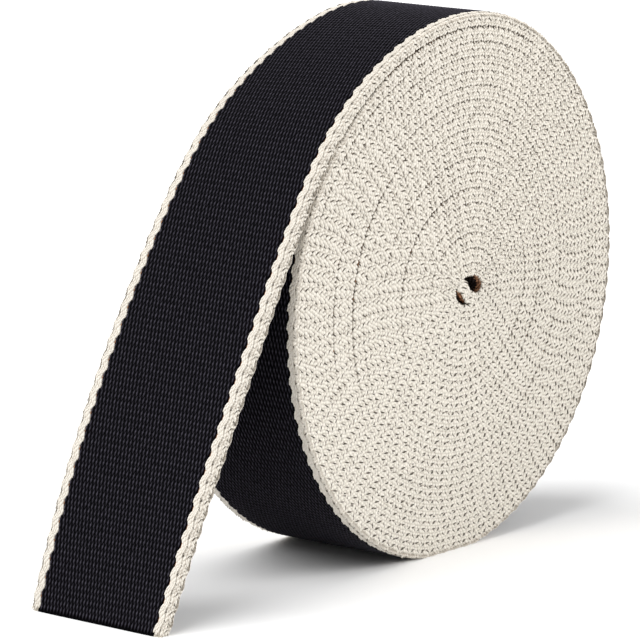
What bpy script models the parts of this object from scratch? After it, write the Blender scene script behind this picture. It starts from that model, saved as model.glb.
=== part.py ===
"""Roll of cotton tape with a loose end.

One length of woven cotton tape is wound on itself round a two-pronged pin, which has been pulled out, and
the roll stands on its rim. Its outermost layer comes loose over the top and runs down to the surface.
Metres, +Z up. The origin is the middle of the flat spot that the roll stands on, the roll's axis lies
along Y, its front face looks towards -Y, and the loose end falls towards -X.
"""
import math

import bmesh
import bpy

MM = 0.001
COLLECTION = "cotton_tape_roll"

# The tape, and how closely its turns lie
TAPE_WIDTH = 38.0 * MM
TAPE_THICKNESS = 3.0 * MM
TURN_PITCH = 3.35 * MM

# The wound roll: its rim is one turn of a spiral, out to the outermost layer at the top
ROLL_RADIUS = 65.0 * MM
FLAT_SPOT_LENGTH = 18.0 * MM
RIM_STEP_DEG = 1.5

# Angles on the roll are counted in degrees from the top, positive towards the loose end. The rim has sunk
# in a little under the loose end
LOOSE_FROM_DEG = -30.0
LOOSE_LEAVES_DEG = 50.0
SUNK_FROM_DEG = -30.0
SUNK_TO_DEG = 77.5

# Each edge of the tape: how deep the rim has sunk in under it, where the loose end's outer side meets the
# surface there, and at what angle in degrees
FRONT_EDGE = (1.9 * MM, -110.2 * MM, 63.5)
REAR_EDGE = (5.8 * MM, -108.6 * MM, 70.5)
TAIL_STEPS = 50
BEND_SAMPLE_DEG = 0.5
BUTT_GAP = 0.3 * MM

# The core: the pin's two prongs left a gap on each side of the tape's inner end, which crosses between them
CORE_X = 5.6 * MM
CORE_DROP = 1.9 * MM
CORE_TILT_DEG = -48.0
CORE_HALF_LENGTH = 4.4 * MM
CORE_S_BEND = 1.5 * MM
CORE_SKEW = 0.5
CORE_STEPS = 12
CORE_SEARCH_STEPS = 400
CORE_GAPS = (
    # name, side of the crossing tape, how far its wall bulges from the core's middle
    ("core_gap_upper", 1.0, 5.3 * MM),
    ("core_gap_lower", -1.0, 3.9 * MM),
)
CUTTER_MARGIN = 4.0 * MM

CREAM = (0.80, 0.75, 0.66, 1.0)
BLACK = (0.012, 0.011, 0.015, 1.0)


def sunk(angle, depth):
    """How far the rim has sunk in at an angle: a smooth hollow between two angles."""
    turned = (angle + 180.0) % 360.0 - 180.0
    share = (turned - SUNK_FROM_DEG) / (SUNK_TO_DEG - SUNK_FROM_DEG)
    return depth * math.sin(math.pi * share) ** 2 if 0.0 < share < 1.0 else 0.0


def rim_radius(angle, depth):
    return ROLL_RADIUS + TURN_PITCH * angle / 360.0 - sunk(angle, depth)


AXIS_HEIGHT = math.sqrt(rim_radius(-180.0, 0.0) ** 2 - (FLAT_SPOT_LENGTH / 2.0) ** 2)


def on_roll(angle, radius):
    """The x and z of a point on the roll, kept above the flat spot."""
    turned = math.radians(angle)
    return (-radius * math.sin(turned), max(AXIS_HEIGHT + radius * math.cos(turned), 0.0))


def angles(first, last, step):
    count = max(1, round((last - first) / step))
    return [first + (last - first) * i / count for i in range(count + 1)]


def roll_outline(edge):
    """One turn of the spiral rim, with a step of one layer where the loose end butts against it."""
    depth = edge[0]
    around = angles(LOOSE_FROM_DEG - 360.0, LOOSE_FROM_DEG, RIM_STEP_DEG)
    return [on_roll(a, rim_radius(a, depth)) for a in around]


def tail(edge):
    """The free run from the roll to the foot. It leaves with the roll's own bend, which eases away."""
    depth, foot_x, foot_angle = edge
    before, start, after = (on_roll(a, rim_radius(a, depth)) for a in (
        LOOSE_LEAVES_DEG - BEND_SAMPLE_DEG, LOOSE_LEAVES_DEG, LOOSE_LEAVES_DEG + BEND_SAMPLE_DEG))
    foot = (foot_x, 0.0)
    reach = math.hypot(foot[0] - start[0], foot[1] - start[1])
    span = math.hypot(after[0] - before[0], after[1] - before[1]) / 2.0
    fall = math.radians(180.0 + foot_angle)
    arrive = (reach * math.cos(fall), reach * math.sin(fall))
    leave = [reach * (a - b) / (2.0 * span) for a, b in zip(after, before)]
    bend = [(reach / span) ** 2 * (a - 2.0 * m + b) for a, m, b in zip(after, start, before)]
    points = []
    for i in range(1, TAIL_STEPS + 1):
        s = i / TAIL_STEPS
        to_foot = 10 * s ** 3 - 15 * s ** 4 + 6 * s ** 5
        leaving = s - 6 * s ** 3 + 8 * s ** 4 - 3 * s ** 5
        arriving = -4 * s ** 3 + 7 * s ** 4 - 3 * s ** 5
        bending = (s ** 2 - 3 * s ** 3 + 3 * s ** 4 - s ** 5) / 2
        points.append(tuple(
            (1 - to_foot) * start[k] + to_foot * foot[k]
            + leaving * leave[k] + arriving * arrive[k] + bending * bend[k]
            for k in range(2)))
    return points


def outer_line(edge):
    """The loose end's outer side, from where it butts against the roll's last turn to its foot."""
    butt = math.degrees(BUTT_GAP / ROLL_RADIUS)
    over = angles(LOOSE_FROM_DEG + butt, LOOSE_LEAVES_DEG, RIM_STEP_DEG)
    return [on_roll(a, rim_radius(a, edge[0])) for a in over] + tail(edge)


def inner_line(outer):
    """The outer side moved in by the tape's thickness, and ended on the surface."""
    points = []
    for i, (x, z) in enumerate(outer):
        before, after = outer[max(i - 1, 0)], outer[min(i + 1, len(outer) - 1)]
        run, drop = after[0] - before[0], after[1] - before[1]
        scale = TAPE_THICKNESS / math.hypot(run, drop)
        points.append((x - drop * scale, z + run * scale))
    above = [p for p in points if p[1] > 0.0]
    below = points[len(above)]
    share = above[-1][1] / (above[-1][1] - below[1])
    return above + [(above[-1][0] + share * (below[0] - above[-1][0]), 0.0)]


def loose_outline(edge):
    outer = outer_line(edge)
    return outer + inner_line(outer)[::-1]


def core_outline(side, bulge):
    """One gap of the core: the bulging wall of the innermost turn, closed by the crossing tape.

    The crossing tape bends like an S, so each wall bulges most towards one end of its gap."""
    def wall(u):
        share = u / CORE_HALF_LENGTH
        return bulge * math.sqrt(max(0.0, 1.0 - share ** 2)) * (1.0 + side * CORE_SKEW * share)

    def crossing(u):
        return TAPE_THICKNESS / 2.0 + side * CORE_S_BEND * (u / CORE_HALF_LENGTH) ** 3

    fine = [CORE_HALF_LENGTH * (2.0 * i / CORE_SEARCH_STEPS - 1.0) for i in range(CORE_SEARCH_STEPS + 1)]
    open_part = [u for u in fine if wall(u) > crossing(u)]
    middle, half = (open_part[0] + open_part[-1]) / 2.0, (open_part[-1] - open_part[0]) / 2.0
    steps = [middle - half * math.cos(math.pi * i / CORE_STEPS) for i in range(CORE_STEPS + 1)]
    around = [(u, wall(u)) for u in steps] + [(u, crossing(u)) for u in reversed(steps)]
    tilt = math.radians(CORE_TILT_DEG)
    placed = []
    for u, w in around:
        w *= side
        placed.append((CORE_X + u * math.cos(tilt) - w * math.sin(tilt),
                       AXIS_HEIGHT - CORE_DROP + u * math.sin(tilt) + w * math.cos(tilt)))
    return placed


def loft(name, front, rear, collection, margin=0.0):
    """A solid between an outline in the front face's plane and one of as many points in the rear face's."""
    half = TAPE_WIDTH / 2.0 + margin
    bm = bmesh.new()
    near = [bm.verts.new((x, -half, z)) for x, z in front]
    far = [bm.verts.new((x, half, z)) for x, z in rear]
    bm.faces.new(near)
    bm.faces.new(far[::-1])
    for i in range(len(near)):
        after = (i + 1) % len(near)
        bm.faces.new((near[after], near[i], far[i], far[after]))
    bmesh.ops.recalc_face_normals(bm, faces=bm.faces)
    mesh = bpy.data.meshes.new(name)
    bm.to_mesh(mesh)
    bm.free()
    piece = bpy.data.objects.new(name, mesh)
    collection.objects.link(piece)
    return piece


def cloth(name, colour):
    """A woven cotton finish of one colour."""
    material = bpy.data.materials.new(name)
    material.use_nodes = True
    shader = material.node_tree.nodes["Principled BSDF"]
    shader.inputs["Base Color"].default_value = colour
    shader.inputs["Roughness"].default_value = 0.9
    shader.inputs["Metallic"].default_value = 0.0
    return material


def new_collection(name):
    collection = bpy.data.collections.new(name)
    bpy.context.scene.collection.children.link(collection)
    return collection


def wound_roll(parts, cutters):
    """The turns as one solid, with the core's two gaps cut through it."""
    roll = loft("wound_roll", roll_outline(FRONT_EDGE), roll_outline(REAR_EDGE), parts)
    roll.data.materials.append(cloth("cream_selvedge", CREAM))
    for name, side, bulge in CORE_GAPS:
        outline = core_outline(side, bulge)
        cutter = loft(name, outline, outline, cutters, CUTTER_MARGIN)
        cutter.hide_render = True
        cutter.display_type = "WIRE"
        cut = roll.modifiers.new(name, "BOOLEAN")
        cut.operation = "DIFFERENCE"
        cut.solver = "EXACT"
        cut.object = cutter


def loose_end(parts):
    """The sheet that comes loose over the top and stands on its cut end."""
    sheet = loft("loose_end", loose_outline(FRONT_EDGE), loose_outline(REAR_EDGE), parts)
    sheet.data.materials.append(cloth("black_weave", BLACK))


for old in list(bpy.data.objects):
    bpy.data.objects.remove(old, do_unlink=True)
tape_parts = new_collection(COLLECTION)
core_cutters = new_collection("cutters")
wound_roll(tape_parts, core_cutters)
loose_end(tape_parts)
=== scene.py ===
"""Roll of woven cotton tape, black with cream selvedges, standing on its rim with its end run out."""
import math

import bmesh
import bpy
import numpy as np
from mathutils import Matrix, Vector


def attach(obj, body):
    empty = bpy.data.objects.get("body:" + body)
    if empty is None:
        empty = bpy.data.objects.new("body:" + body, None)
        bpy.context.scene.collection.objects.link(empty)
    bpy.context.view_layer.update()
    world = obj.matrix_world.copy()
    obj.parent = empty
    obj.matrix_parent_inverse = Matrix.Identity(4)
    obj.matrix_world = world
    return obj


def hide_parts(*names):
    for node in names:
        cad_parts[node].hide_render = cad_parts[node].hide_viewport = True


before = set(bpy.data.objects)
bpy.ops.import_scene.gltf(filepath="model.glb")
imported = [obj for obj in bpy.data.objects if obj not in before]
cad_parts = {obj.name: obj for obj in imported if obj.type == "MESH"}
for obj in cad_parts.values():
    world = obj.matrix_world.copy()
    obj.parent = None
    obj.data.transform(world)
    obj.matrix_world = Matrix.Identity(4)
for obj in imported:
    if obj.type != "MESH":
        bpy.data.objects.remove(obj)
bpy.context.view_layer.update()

# The wound run
# One uncut length of strap webbing. It starts between the two prongs of a pin, crosses the core, winds
# outwards anticlockwise as seen from the front, and leaves the rim over the top to stand on its cut end.
MM = 0.001
WIDTH = 38.0 * MM
THICKNESS = 3.0 * MM
WOUND_THICKNESS = 2.9 * MM
TURN_PITCH = 3.35 * MM
SNUG = 0.985
ROLL_RADIUS = 65.0 * MM
FLAT_SPOT = 18.0 * MM
LAYER_AT_FLOOR = 3.12 * MM
AXIS_HEIGHT = math.sqrt((ROLL_RADIUS - TURN_PITCH / 2) ** 2 - (FLAT_SPOT / 2) ** 2)

# Each edge of the tape: how deep the rim is sunk in under the loose end, where that end's outer side meets
# the floor, and at what angle in degrees
FRONT_EDGE = (1.9 * MM, -110.2 * MM, 63.5)
REAR_EDGE = (5.8 * MM, -108.6 * MM, 70.5)

# Angles are in degrees from the top, positive towards the loose end, and count on over all the turns
WOUND_DEG = 6206.0
HOLLOW_FROM, HOLLOW_SPAN = -30.0, 107.5
LOOSE_FROM = -30.0
LEAVES_AT = 50.0
RIM_FROM_DEG = -330.0
FINE_FROM, COARSE_STEP, FINE_STEP = -390.0, 4.0, 2.0
FREE_STEPS = 60
turn_angles = np.concatenate([np.arange(-WOUND_DEG, FINE_FROM, COARSE_STEP),
                              np.arange(FINE_FROM, LEAVES_AT + FINE_STEP / 2, FINE_STEP)])

CORE = (6.3 * MM, -1.3 * MM)
CORE_REACH = ROLL_RADIUS - TURN_PITCH * WOUND_DEG / 360.0
CORE_OVAL = 1.0 * MM
STEP_OVER = 2.6 * MM
STEP_RISE_DEG = 276.0
INNER_END = (
    # where the tape's outer side runs from its cut inner end to the first turn, in millimetres from the axis
    (1.3, -0.6), (2.6, -1.2), (3.6, -2.0), (4.25, -3.0), (5.2, -4.0), (6.6, -4.7), (8.2, -5.2), (9.9, -5.4),
    (11.6, -5.0), (13.1, -3.8), (14.1, -2.4))
INNER_STEPS = 3


def on_turn(angle, depth):
    """The tape's outer side at angles on the turns, with the core's oval and its step fading outwards."""
    reach = ROLL_RADIUS + TURN_PITCH * angle / 360
    inward = (ROLL_RADIUS - reach) / (ROLL_RADIUS - CORE_REACH)
    under = np.clip(((angle + 180) % 360 - 180 - HOLLOW_FROM) / HOLLOW_SPAN, 0, 1)
    past = (angle + 90) % 360
    fall = 0.5 + 0.5 * np.cos(np.pi * (past - STEP_RISE_DEG) / (360 - STEP_RISE_DEG))
    step = STEP_OVER * np.where(past < STEP_RISE_DEG, past / STEP_RISE_DEG, fall)
    oval = CORE_OVAL * np.cos(np.radians(2 * past))
    radius = reach + (oval - step) * np.clip(inward, 0, 1) ** 3
    radius -= depth * np.sin(np.pi * under) ** 2 * reach / ROLL_RADIUS
    x = CORE[0] * inward - radius * np.sin(np.radians(angle))
    z = AXIS_HEIGHT + CORE[1] * inward + radius * np.cos(np.radians(angle))
    lowest = np.maximum(0, np.round((-180 - angle) / 360)) * LAYER_AT_FLOOR
    return np.stack([x, np.maximum(z, lowest)], axis=1)


def through(points, count):
    """A smooth line through points, from the second to the last but one."""
    s = np.linspace(0, 1, count, endpoint=False)[:, None]
    return np.concatenate([
        b + (c - a) / 2 * s + (2 * a - 5 * b + 4 * c - d) / 2 * s ** 2 + (3 * b - a - 3 * c + d) / 2 * s ** 3
        for a, b, c, d in zip(points, points[1:], points[2:], points[3:])])


def free_run(edge):
    """The run from the rim to the floor, which leaves with the roll's own bend."""
    depth, foot_x, fall = edge
    before, start, after = on_turn(np.array([LEAVES_AT - 0.5, LEAVES_AT, LEAVES_AT + 0.5]), depth)
    foot = np.array([foot_x, 0.0])
    reach = np.linalg.norm(foot - start)
    span = np.linalg.norm(after - before) / 2
    leave = reach * (after - before) / (2 * span)
    bend = (reach / span) ** 2 * (after - 2 * start + before)
    turned = math.radians(180 + fall)
    arrive = reach * np.array([math.cos(turned), math.sin(turned)])
    s = np.linspace(0, 1, FREE_STEPS + 1)[1:, None]
    to_foot = 10 * s ** 3 - 15 * s ** 4 + 6 * s ** 5
    return ((1 - to_foot) * start + to_foot * foot + (s - 6 * s ** 3 + 8 * s ** 4 - 3 * s ** 5) * leave
            + (-4 * s ** 3 + 7 * s ** 4 - 3 * s ** 5) * arrive
            + (s ** 2 - 3 * s ** 3 + 3 * s ** 4 - s ** 5) / 2 * bend)


def whole_run(edge):
    """The outer side at one edge, from the cut inner end to the foot."""
    turns = on_turn(turn_angles, edge[0])
    inner = np.array(INNER_END) * MM + np.array([0.0, AXIS_HEIGHT])
    start = through([2 * inner[0] - inner[1], *inner, turns[0], turns[1]], INNER_STEPS)
    return np.concatenate([start, turns, free_run(edge)])


def left_of(line):
    """The directions that point from the outer side to the inner one."""
    along = np.gradient(line, axis=0)
    along /= np.linalg.norm(along, axis=1)[:, None]
    return np.stack([-along[:, 1], along[:, 0]], axis=1)


def layer_pitch(edge):
    """How much room each layer has, which the springy tape fills. The free run keeps its own thickness."""
    pitch = np.linalg.norm(on_turn(turn_angles, edge[0]) - on_turn(turn_angles - 360, edge[0]), axis=1)
    pitch = np.where(turn_angles - 360 < -WOUND_DEG, WOUND_THICKNESS, pitch * SNUG)
    pitch = np.where(turn_angles > LOOSE_FROM, THICKNESS, pitch)
    start = np.full(INNER_STEPS * len(INNER_END), WOUND_THICKNESS)
    return np.concatenate([start, pitch, np.full(FREE_STEPS, THICKNESS)])


front_run, rear_run = whole_run(FRONT_EDGE), whole_run(REAR_EDGE)
front_left, rear_left = left_of(front_run), left_of(rear_run)
thickness_at = (layer_pitch(FRONT_EDGE) + layer_pitch(REAR_EDGE)) / 2
steps = sum(np.linalg.norm(np.diff(run, axis=0), axis=1) for run in (front_run, rear_run)) / 2
distance = np.concatenate([[0.0], np.cumsum(steps)])
LENGTH = distance[-1]
FREE_FROM = distance[-1 - FREE_STEPS]
RIM_FROM = distance[-1 - FREE_STEPS - round((LEAVES_AT - RIM_FROM_DEG) / FINE_STEP)]

# The turns lie a little unevenly against each other, up to where the tape comes loose
DRIFT = 0.075 * MM
DRIFT_WAVES = ((31, 0), (17.3, 1), (53, 2))
DRIFT_FADES_OVER = 0.2
drift_at = DRIFT * sum(np.sin(distance * often + start) for often, start in DRIFT_WAVES)
drift_at *= np.interp(distance, [0, FREE_FROM - DRIFT_FADES_OVER, FREE_FROM], [1, 1, 0])


def wind(flat):
    """Takes points on the flat tape (along, across from the front edge, below the outer side) to the roll."""
    along, across, below = flat[..., 0], flat[..., 1], flat[..., 2]
    share = np.clip(across / WIDTH, 0, 1)

    def at(column):
        return np.interp(along, distance, column)
    deep = below * at(thickness_at) / THICKNESS
    x = (1 - share) * (at(front_run[:, 0]) + at(front_left[:, 0]) * deep)
    x += share * (at(rear_run[:, 0]) + at(rear_left[:, 0]) * deep)
    z = (1 - share) * (at(front_run[:, 1]) + at(front_left[:, 1]) * deep)
    z += share * (at(rear_run[:, 1]) + at(rear_left[:, 1]) * deep)
    return np.stack([x, across - WIDTH / 2 + at(drift_at), np.maximum(z, 0)], axis=-1)


# The tape itself
# A thick double weave: black floats over the middle and cream ones in the two selvedges. The black floats
# lie in rows, each row a third of a rib further over, so they show as fine slanting ribs.
PROFILE = (
    # across from the front edge, below the outer side, in millimetres
    (0.45, 1.5), (0.47, 0.7), (0.6, 0.35), (1.0, 0.18), (2.0, 0.12), (2.9, 0.04), (6.0, 0.0), (19.0, 0.0))
# The weave in millimetres: its repeat along the tape, a row of floats, the ribs' spacing, and the width of
# each cream band with the strip at its very edge
REPEAT = 4.3
FLOAT_ROW = REPEAT / 3
RIB_PITCH = 0.944
CREAM_BAND = 2.1
EDGE_STRIP = 0.62
# How far the bands' border strays inside the roll, and how much of the cut end has cream edges
RAGGED = 2.4
CUT_STRIP = 3.0
# Painted shade in the weave's sunk grooves and painted highlight on its raised parts, lighter and warmer
# inside the core
SUNK_SHADE, RAISED_HIGHLIGHT = (0.001, 0.0009, 0.0013, 1), (0.006, 0.0058, 0.0075, 1)
INNER_SUNK_SHADE, INNER_RAISED_HIGHLIGHT = (0.008, 0.0065, 0.006, 1), (0.07, 0.055, 0.05, 1)
# Painted shade: dark tape edges and band base, seen in the gaps between the stitches and floats
EDGE_SHADE, BAND_GAP_SHADE = (0.12, 0.09, 0.062, 1), (0.42, 0.21, 0.11, 1)
# Painted warm shade on the cream bands of the inner turns, seen inside the core
CORE_DEEP_SHADE, CORE_WARM_SHADE = (0.09, 0.045, 0.028, 1), (0.95, 0.52, 0.30, 1)
CUT_CREAM = (0.66, 0.61, 0.52, 1)

profile = np.array(PROFILE) * MM
upper = np.concatenate([profile, profile[-2::-1] * (-1, 1) + (WIDTH, 0)])
ring = np.concatenate([upper, upper[-2:0:-1] * (1, -1) + (0, THICKNESS), upper[:1]])
stations = len(distance)
bm = bmesh.new()
bmesh.ops.create_grid(bm, x_segments=stations - 1, y_segments=len(ring) - 1, size=1.0)
mesh = bpy.data.meshes.new("tape")
bm.to_mesh(mesh)
bm.free()
grid = np.empty(len(mesh.vertices) * 3)
mesh.vertices.foreach_get("co", grid)
grid = grid.reshape(-1, 3)
station = np.rint((grid[:, 0] + 1) / 2 * (stations - 1)).astype(int)
place = np.rint((grid[:, 1] + 1) / 2 * (len(ring) - 1)).astype(int)
flat = np.column_stack([distance[station], ring[place]])
mesh.vertices.foreach_set("co", wind(flat).ravel())
corner = np.empty(len(mesh.loops), dtype=np.int32)
mesh.loops.foreach_get("vertex_index", corner)
mesh.uv_layers.new(name="tape").data.foreach_set("uv", flat[corner][:, :2].ravel())
bm = bmesh.new()
bm.from_mesh(mesh)
bmesh.ops.remove_doubles(bm, verts=bm.verts, dist=0.00001)
bmesh.ops.holes_fill(bm, edges=bm.edges)
bmesh.ops.recalc_face_normals(bm, faces=bm.faces)
for face in bm.faces:
    face.smooth = True
bm.to_mesh(mesh)
bm.free()


class Socket:
    """A shader socket that Python's operators work on."""

    def __init__(self, maker, link):
        self.maker, self.link = maker, link

    def math(self, operation, *others):
        return self.maker.add("ShaderNodeMath", {"operation": operation}, dict(enumerate((self,) + others)))

    def __add__(self, other):
        return self.math("ADD", other)

    def __sub__(self, other):
        return self.math("SUBTRACT", other)

    def __rsub__(self, other):
        return self.maker.add("ShaderNodeMath", {"operation": "SUBTRACT"}, {0: other, 1: self})

    def __mul__(self, other):
        return self.math("MULTIPLY", other)

    __radd__ = __add__
    __rmul__ = __mul__

    def __truediv__(self, other):
        return self.math("DIVIDE", other)

    def __pow__(self, other):
        return self.math("POWER", other)


class Finish:
    """A material and the nodes that make it."""

    def __init__(self, name, roughness, sheen, specular):
        self.material = bpy.data.materials.new(name)
        self.material.use_nodes = True
        self.nodes, self.links = self.material.node_tree.nodes, self.material.node_tree.links
        self.shader = self.nodes["Principled BSDF"]
        self.shader.inputs["Roughness"].default_value = roughness
        self.shader.inputs["Sheen Weight"].default_value = sheen
        self.shader.inputs["Specular IOR Level"].default_value = specular

    def add(self, kind, settings, sockets, output=0):
        """Any node, with its settings, its sockets' values or links, and which output is read."""
        node = self.nodes.new(kind)
        for key, value in settings.items():
            setattr(node, key, value)
        for key, value in sockets.items():
            if isinstance(value, Socket):
                self.links.new(value.link, node.inputs[key])
            else:
                node.inputs[key].default_value = value
        return Socket(self, node.outputs[output])

    def feed(self, name, socket):
        self.links.new(socket.link, self.shader.inputs[name])

    def mixed(self, share, first, second):
        return self.add("ShaderNodeMix", {"data_type": "RGBA"}, {0: share, 6: first, 7: second}, 2)

    def noise(self, uv, scale, detail):
        return self.add("ShaderNodeTexNoise", {}, {"Vector": uv, "Scale": scale, "Detail": detail})

    def lift(self, height, strength, distance):
        bump = {"Strength": strength, "Distance": distance, "Height": height}
        self.feed("Normal", self.add("ShaderNodeBump", {}, bump))


def tape_uv(finish):
    """The tape's UV map, and the distance along the tape and across or below it, in millimetres."""
    place = finish.add("ShaderNodeUVMap", {"uv_map": "tape"}, {})
    along = finish.add("ShaderNodeSeparateXYZ", {}, {0: place})
    across = finish.add("ShaderNodeSeparateXYZ", {}, {0: place}, 1)
    return place, along * 1000, across * 1000


def put(name, data):
    """A new object in the scene."""
    piece = bpy.data.objects.new(name, data)
    bpy.context.collection.objects.link(piece)
    return piece


weave = Finish("black_and_cream_weave", roughness=0.95, sheen=0.0, specular=0.03)
uv, along, across = tape_uv(weave)
in_rib = (across / RIB_PITCH + along / REPEAT).math("FRACT")
in_row = (along / FLOAT_ROW).math("FRACT")
ridge = (in_rib * math.pi).math("SINE") ** 0.6 * (in_row * math.pi).math("SINE") ** 0.4
grain = weave.noise(uv, 900.0, 2.0)
is_rim = along.math("GREATER_THAN", RIM_FROM / MM)
# Painted shade and highlight on the weave; the inner turns' copy is lighter and warmer
inner_shade = weave.mixed(ridge, INNER_SUNK_SHADE, INNER_RAISED_HIGHLIGHT)
shade = weave.mixed(is_rim, inner_shade, weave.mixed(ridge, SUNK_SHADE, RAISED_HIGHLIGHT))
middle = WIDTH / MM / 2
from_edge = middle - (across - middle).math("ABSOLUTE")
ragged = (grain - 0.5) * RAGGED * (1 - is_rim)
is_black = (from_edge + ragged).math("GREATER_THAN", CREAM_BAND)
# Painted warm shade on the inner turns' cream bands
core_band_shade = weave.mixed(ridge * grain * 1.6, CORE_DEEP_SHADE, CORE_WARM_SHADE)
# Painted shade on the band base between the floats
band = weave.mixed(is_rim, core_band_shade, BAND_GAP_SHADE)
# Painted shade on the tape's edges, which shows through the gaps between the face stitches
cream = weave.mixed(from_edge.math("GREATER_THAN", EDGE_STRIP), EDGE_SHADE, band)
cream = weave.mixed(along.math("GREATER_THAN", LENGTH / MM - CUT_STRIP), cream, CUT_CREAM)
weave.feed("Base Color", weave.mixed(is_black, cream, shade))
weave.lift(ridge + grain * 0.25, 1.0, 0.25 * MM)
mesh.materials.append(weave.material)
tape = put("tape", mesh)
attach(tape, "root")
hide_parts("wound_roll", "loose_end")

# The selvedge stitches on both faces
# Cream cotton floats wrapped round the tape's edges. Each layer shows four rows of them, which lean to and
# fro in pairs of picks and leave short slanting slits on both sides of every second row, darkened with
# painted shade.
WAVE_LENGTH = REPEAT * MM
PICK = WAVE_LENGTH / 4
ROWS = (0.375 * MM, 1.125 * MM, 1.875 * MM, 2.625 * MM)
HALF_LONG, HALF_WIDE, PROUD = 0.9 * MM, 0.62 * MM, 0.5 * MM
LEAN, SHINGLE = math.radians(24), math.radians(14)
LEAN_VARIES, SIZE_VARIES, ALONG_VARIES, BELOW_VARIES = 0.12, 0.08, 0.06 * MM, 0.05 * MM
SUNK = 0.5 * MM
WOUND_WAVE, FREE_WAVE = 0.04 * MM, 0.1 * MM
LAST_STITCH = 0.8 * MM
DULL_CREAM, BRIGHT_CREAM = (0.66, 0.62, 0.545, 1), (0.92, 0.88, 0.81, 1)
# Painted shade at the rims of the face stitches
FACE_RIM_SHADE = (0.32, 0.28, 0.225, 1)
# Painted shade in the pinholes between the face stitches
PINHOLE_SHADE = (0.06, 0.048, 0.036, 1)
random = np.random.default_rng(7)


def stitch_mesh(name, segments, rings):
    """Half of a small ball, one unit long, wide and high each way."""
    bm = bmesh.new()
    bmesh.ops.create_uvsphere(bm, u_segments=segments, v_segments=rings, radius=1.0)
    bmesh.ops.bisect_plane(bm, geom=bm.verts[:] + bm.edges[:] + bm.faces[:], dist=0.0001,
                           plane_co=(0, 0, 0), plane_no=(0, 0, -1), clear_outer=True)
    bmesh.ops.triangulate(bm, faces=bm.faces)
    mesh = bpy.data.meshes.new(name)
    bm.to_mesh(mesh)
    bm.free()
    return mesh


def sew(name, stitch, places, finish, uv_axis):
    """Copies a stitch to many places on the flat tape, then winds them up with it."""
    centre, long, wide, up = (np.concatenate(group)[:, None] for group in zip(*places))
    shape = np.array([vertex.co for vertex in stitch.vertices])
    faces = np.array([list(face.vertices) for face in stitch.polygons])
    flat = centre + shape[:, :1] * long + shape[:, 1:2] * wide + shape[:, 2:] * up
    many = len(centre)
    everything = (faces[None] + (np.arange(many) * len(shape))[:, None, None]).reshape(-1, 3)
    mesh = bpy.data.meshes.new(name)
    mesh.from_pydata(wind(flat).reshape(-1, 3).tolist(), [], everything.tolist())
    mesh.polygons.foreach_set("use_smooth", np.ones(len(everything), dtype=bool))
    uv = flat[..., [0, uv_axis]].reshape(-1, 2)[everything.ravel()]
    mesh.uv_layers.new(name="tape").data.foreach_set("uv", uv.ravel())
    own = np.tile(shape[:, [0, 2]], (many, 1))[everything.ravel()]
    mesh.uv_layers.new(name="stitch").data.foreach_set("uv", own.ravel())
    bm = bmesh.new()
    bm.from_mesh(mesh)
    bmesh.ops.recalc_face_normals(bm, faces=bm.faces)
    bm.to_mesh(mesh)
    bm.free()
    mesh.materials.append(finish.material)
    piece = put(name, mesh)
    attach(piece, "root")
    return piece


def crest(finish):
    """How high a point lies on its own stitch, from 0 at the rim to 1 at the crest."""
    own = finish.add("ShaderNodeUVMap", {"uv_map": "stitch"}, {})
    return finish.add("ShaderNodeSeparateXYZ", {}, {0: own}, 1)


def cream_yarn(name, rim, fade):
    """Cream cotton, mottled, with fine fibres and painted shade darkening each stitch towards its rim. The
    colour is still to be fed.
    """
    finish = Finish(name, roughness=0.9, sheen=0.0, specular=0.15)
    uv = tape_uv(finish)[0]
    colour = finish.mixed(finish.noise(uv, 900.0, 2.0), DULL_CREAM, BRIGHT_CREAM)
    finish.lift(finish.noise(uv, 3500.0, 2.0), 0.4, 0.1 * MM)
    return finish, finish.mixed(crest(finish) ** fade, rim, colour)


# Painted shade darkens each face stitch towards its rim
face_cotton, colour = cream_yarn("cream_selvedge_face", FACE_RIM_SHADE, 0.6)
uv, along, below = tape_uv(face_cotton)
SLIT_HALF_WIDE, SLIT_HALF_LONG = 0.22, 0.68
SLIT_DEPTHS = (0.0, 1.5, 3.0)
SLITS = (
    # how far they turn aside for each millimetre ahead, where in the repeat they start, and how dark they are
    (0.6, 0.0, 1.0), (-0.6, 0.5, 0.85))


def slits(turn, start, strength, depth):
    """Painted shade for the pinholes between the rows at one depth, from 0 to 1: short slanting slits, one in
    each repeat.
    """
    ahead = ((along / REPEAT - start).math("FRACT") - 0.5) * REPEAT
    aside = (below - depth - ahead * turn) / SLIT_HALF_WIDE
    ahead = ahead / SLIT_HALF_LONG
    inside = (1.3 - (aside * aside + ahead * ahead)).math("MAXIMUM", 0.0)
    return inside.math("MINIMUM", 1.0) * strength


# Painted shade in the pinholes, uneven from place to place
holes = sum(slits(*kind, depth) for kind in SLITS for depth in SLIT_DEPTHS)
uneven = face_cotton.noise(uv, 350.0, 1.0) * 2.6 - 0.1
holes = (holes * uneven).math("MAXIMUM", 0.0).math("MINIMUM", 0.95)
face_cotton.feed("Base Color", face_cotton.mixed(holes, colour, PINHOLE_SHADE))


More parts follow.
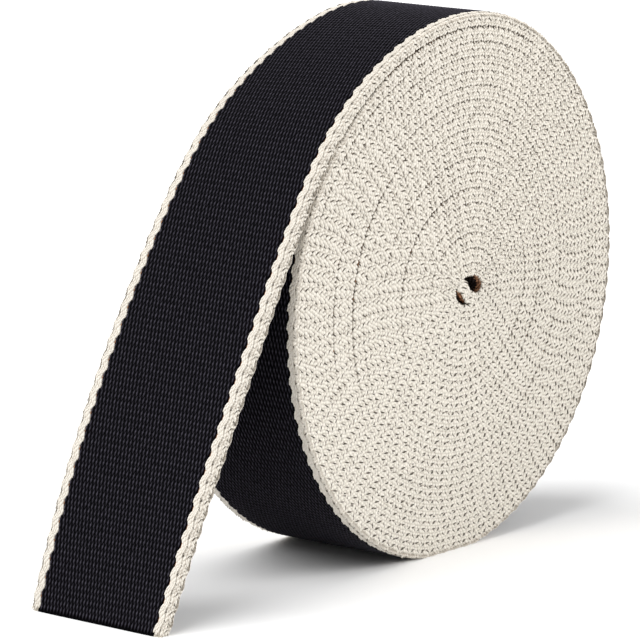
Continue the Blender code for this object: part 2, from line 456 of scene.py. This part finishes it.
def edge_rows(side):
    """Where the face stitches lie: side 0 for the front face, 1 for the rear one."""
    picks = np.arange(0.5 * PICK, LENGTH - LAST_STITCH, PICK)
    n = len(picks)
    leans = np.where(np.arange(n) % 4 < 2, LEAN, -LEAN)
    wave = np.where(picks > FREE_FROM, FREE_WAVE, WOUND_WAVE) * np.cos(2 * np.pi * picks / WAVE_LENGTH)
    across = SUNK + wave if side == 0 else WIDTH - SUNK - wave
    zero = np.zeros(n)
    out = zero + (-1.0 if side == 0 else 1.0)
    rows = []
    for row, below in enumerate(ROWS):
        lean = leans + random.normal(0, LEAN_VARIES, n)
        size = 1 + random.normal(0, SIZE_VARIES, n)
        along = picks + (row % 2 - 0.5) * PICK / 2 + random.normal(0, ALONG_VARIES, n)
        centre = np.column_stack([along, across, below + random.normal(0, BELOW_VARIES, n)])
        long = np.column_stack([np.cos(lean), out * math.sin(SHINGLE), np.sin(lean)])
        wide = np.column_stack([-np.sin(lean), zero, np.cos(lean)])
        up = np.column_stack([zero, out, zero]) * PROUD
        rows.append((centre, long * (HALF_LONG * size)[:, None], wide * (HALF_WIDE * size)[:, None], up))
    return rows


small_stitch = stitch_mesh("small_stitch", 6, 2)
front_stitches = sew("front_selvedge", small_stitch, edge_rows(0), face_cotton, 2)
rear_stitches = sew("rear_selvedge", small_stitch, edge_rows(1), face_cotton, 2)

# The cream bands along the outer side
# Where the tape's outer side shows, its selvedge is a narrow band of longer floats beside the black. The
# floats follow the border's wave, most of all the innermost ones, so the border is scalloped.
BAND = (
    # column from the edge and its floats' depth in millimetres, and how much of the border's wave it follows
    (0.30, 0.45, 0.5), (0.85, 0.2, 0.7), (1.40, 0.2, 0.9), (1.92, 0.2, 1.0))
BORDER_WAVE = 0.3 * MM
SLOPE_REACH = 0.3 * MM
BAND_HALF_LONG, BAND_HALF_WIDE, BAND_PROUD = 1.15 * MM, 0.36 * MM, 0.4 * MM
FLOAT_LEAN_VARIES = 0.03
# Painted shade at the rims of the band floats
BAND_RIM_SHADE = (0.34, 0.27, 0.20, 1)
# Painted shade darkens each band float towards its rim
band_cotton, colour = cream_yarn("cream_selvedge_band", BAND_RIM_SHADE, 0.4)
band_cotton.feed("Base Color", colour)


def border_wave(along):
    """How far the band reaches into the black."""
    return BORDER_WAVE * np.cos(2 * np.pi * along / WAVE_LENGTH)


def laid_flat(lean, out, rise, half_long, half_wide, proud):
    """The axes of floats that lie on the tape's outer side, where out is -1, or on its inner one."""
    zero = np.zeros(len(lean))
    return (np.column_stack([np.cos(lean), np.sin(lean), zero + out * rise]) * half_long,
            np.column_stack([-np.sin(lean), np.cos(lean), zero]) * half_wide,
            np.column_stack([zero, zero, zero + out]) * proud)


def band_columns(start, end, out):
    """Where the bands' floats lie, on the tape's outer side or its inner one."""
    columns = []
    for side in (0, 1):
        for column, (off, depth, follows) in enumerate(BAND):
            along = np.arange(start + (column % 2) * PICK / 2, end - BAND_HALF_LONG, PICK)
            n = len(along)
            reach = off * MM + follows * border_wave(along)
            rise = border_wave(along + SLOPE_REACH) - border_wave(along - SLOPE_REACH)
            lean = np.arctan(follows * rise / (2 * SLOPE_REACH)) + random.normal(0, FLOAT_LEAN_VARIES, n)
            below = depth * MM if out < 0 else THICKNESS - depth * MM
            centre = np.column_stack([along, reach if side == 0 else WIDTH - reach, np.full(n, below)])
            columns.append((centre, *laid_flat(lean if side == 0 else -lean, out, math.sin(SHINGLE),
                                               BAND_HALF_LONG, BAND_HALF_WIDE, BAND_PROUD)))
    return columns


long_stitch = stitch_mesh("long_stitch", 6, 4)
outer_bands = sew("outer_bands", long_stitch, band_columns(RIM_FROM, LENGTH, -1), band_cotton, 1)
inner_bands = sew("inner_bands", long_stitch, band_columns(FREE_FROM, LENGTH, 1), band_cotton, 1)

# The black floats
# Between the bands, on the same outer and inner sides: thin black yarns in straight rows across the tape,
# three rows to a repeat. Each row lies a third of a rib further over, so the floats join to slanting ribs.
FLOAT_HALF_LONG, FLOAT_HALF_WIDE, FLOAT_PROUD = 1.25 * MM, 0.30 * MM, 0.4 * MM
FLOAT_DEPTH = 0.02 * MM
ACROSS_VARIES = 0.02 * MM
BLACK_FROM = (CREAM_BAND + 0.15) * MM
BORDER_PHASE = 0.25
# Painted shade towards each float's rim and painted highlight along its crest; the mottle is the yarn's own
# tone
FLOAT_RIM_SHADE = (0.001, 0.0008, 0.0012, 1)
DULL_BLACK, BRIGHT_BLACK = (0.005, 0.0045, 0.007, 1), (0.125, 0.115, 0.150, 1)
black_cotton = Finish("black_cotton", roughness=0.95, sheen=0.03, specular=0.03)
# Each float: painted shade towards its rim, painted highlight on its crest over a mottled own tone
mottle = black_cotton.noise(tape_uv(black_cotton)[0], 1100.0, 2.0)
colour = black_cotton.mixed(mottle, DULL_BLACK, BRIGHT_BLACK)
black_cotton.feed("Base Color", black_cotton.mixed(crest(black_cotton) ** 3.5, FLOAT_RIM_SHADE, colour))


def black_rows(start, end, out):
    """Where the black floats lie, on the tape's outer side or its inner one."""
    rows = []
    for row in np.arange(start, end - FLOAT_HALF_LONG, FLOAT_ROW * MM):
        first = BLACK_FROM + (-row / WAVE_LENGTH - BORDER_PHASE) % 1 * RIB_PITCH * MM
        across = np.arange(first, WIDTH - BLACK_FROM, RIB_PITCH * MM)
        n = len(across)
        across = across + random.normal(0, ACROSS_VARIES, n)
        along = row + random.normal(0, ALONG_VARIES, n)
        lean = random.normal(0, FLOAT_LEAN_VARIES, n)
        below = FLOAT_DEPTH if out < 0 else THICKNESS - FLOAT_DEPTH
        centre = np.column_stack([along, across, np.full(n, below)])
        rows.append((centre, *laid_flat(lean, out, 0.0, FLOAT_HALF_LONG, FLOAT_HALF_WIDE, FLOAT_PROUD)))
    return rows


yarn = stitch_mesh("yarn", 4, 4)
outer_floats = sew("outer_black_floats", yarn, black_rows(RIM_FROM, LENGTH, -1), black_cotton, 1)
inner_floats = sew("inner_black_floats", yarn, black_rows(FREE_FROM, LENGTH, 1), black_cotton, 1)

# The studio
# A plain pale floor, one broad soft light on the roll's front face, another from above and the left, and an
# even white surround.
FLOOR_HALF = 12.0
PAPER = (0.96, 0.96, 0.96, 1)
WHITE = (1.0, 1.0, 1.0, 1)
bm = bmesh.new()
bmesh.ops.create_grid(bm, x_segments=1, y_segments=1, size=FLOOR_HALF)
mesh = bpy.data.meshes.new("floor")
bm.to_mesh(mesh)
bm.free()
paper = Finish("pale_paper", roughness=0.95, sheen=0.0, specular=0.2)
paper.shader.inputs["Base Color"].default_value = PAPER
mesh.materials.append(paper.material)
floor = put("floor", mesh)

world = bpy.data.worlds.new("surround")
world.use_nodes = True
surround = world.node_tree.nodes["Background"]
surround.inputs["Color"].default_value = WHITE
surround.inputs["Strength"].default_value = 0.4
bpy.context.scene.world = world
bpy.context.scene.view_settings.view_transform = "Standard"


def far_light(name, towards, strength, spread):
    """A broad soft light that is far away, so it falls evenly."""
    data = bpy.data.lights.new(name, "SUN")
    data.energy, data.angle = strength, math.radians(spread)
    put(name, data).rotation_euler = Vector(towards).to_track_quat("Z", "Y").to_euler()


far_light("front", (0.6, -0.74, 0.32), 2.6, 40)
far_light("overhead", (-0.45, 0.25, 0.86), 3.0, 60)

# The camera: where the photograph was taken from, a long way off with a long lens
CAMERA_AZ, CAMERA_EL, CAMERA_ROLL = math.radians(-53.907), math.radians(11.238), math.radians(1.199)
CAMERA_DISTANCE = 1473.25 * MM
AIM = Vector((-53.029 * MM, -19.0 * MM, 63.079 * MM))
LENS, SENSOR_WIDTH = 367.66, 36.0
back = Vector((math.sin(CAMERA_AZ) * math.cos(CAMERA_EL), -math.cos(CAMERA_AZ) * math.cos(CAMERA_EL),
               math.sin(CAMERA_EL)))
right = Vector((math.cos(CAMERA_AZ), math.sin(CAMERA_AZ), 0.0))
up = back.cross(right)
right, up = (right * math.cos(CAMERA_ROLL) + up * math.sin(CAMERA_ROLL),
             up * math.cos(CAMERA_ROLL) - right * math.sin(CAMERA_ROLL))
view = bpy.data.cameras.new("view")
view.lens, view.sensor_width = LENS, SENSOR_WIDTH
camera = put("view", view)
turned = Matrix((right, up, back)).transposed().to_4x4()
camera.matrix_world = Matrix.Translation(AIM + back * CAMERA_DISTANCE) @ turned
bpy.context.scene.camera = camera
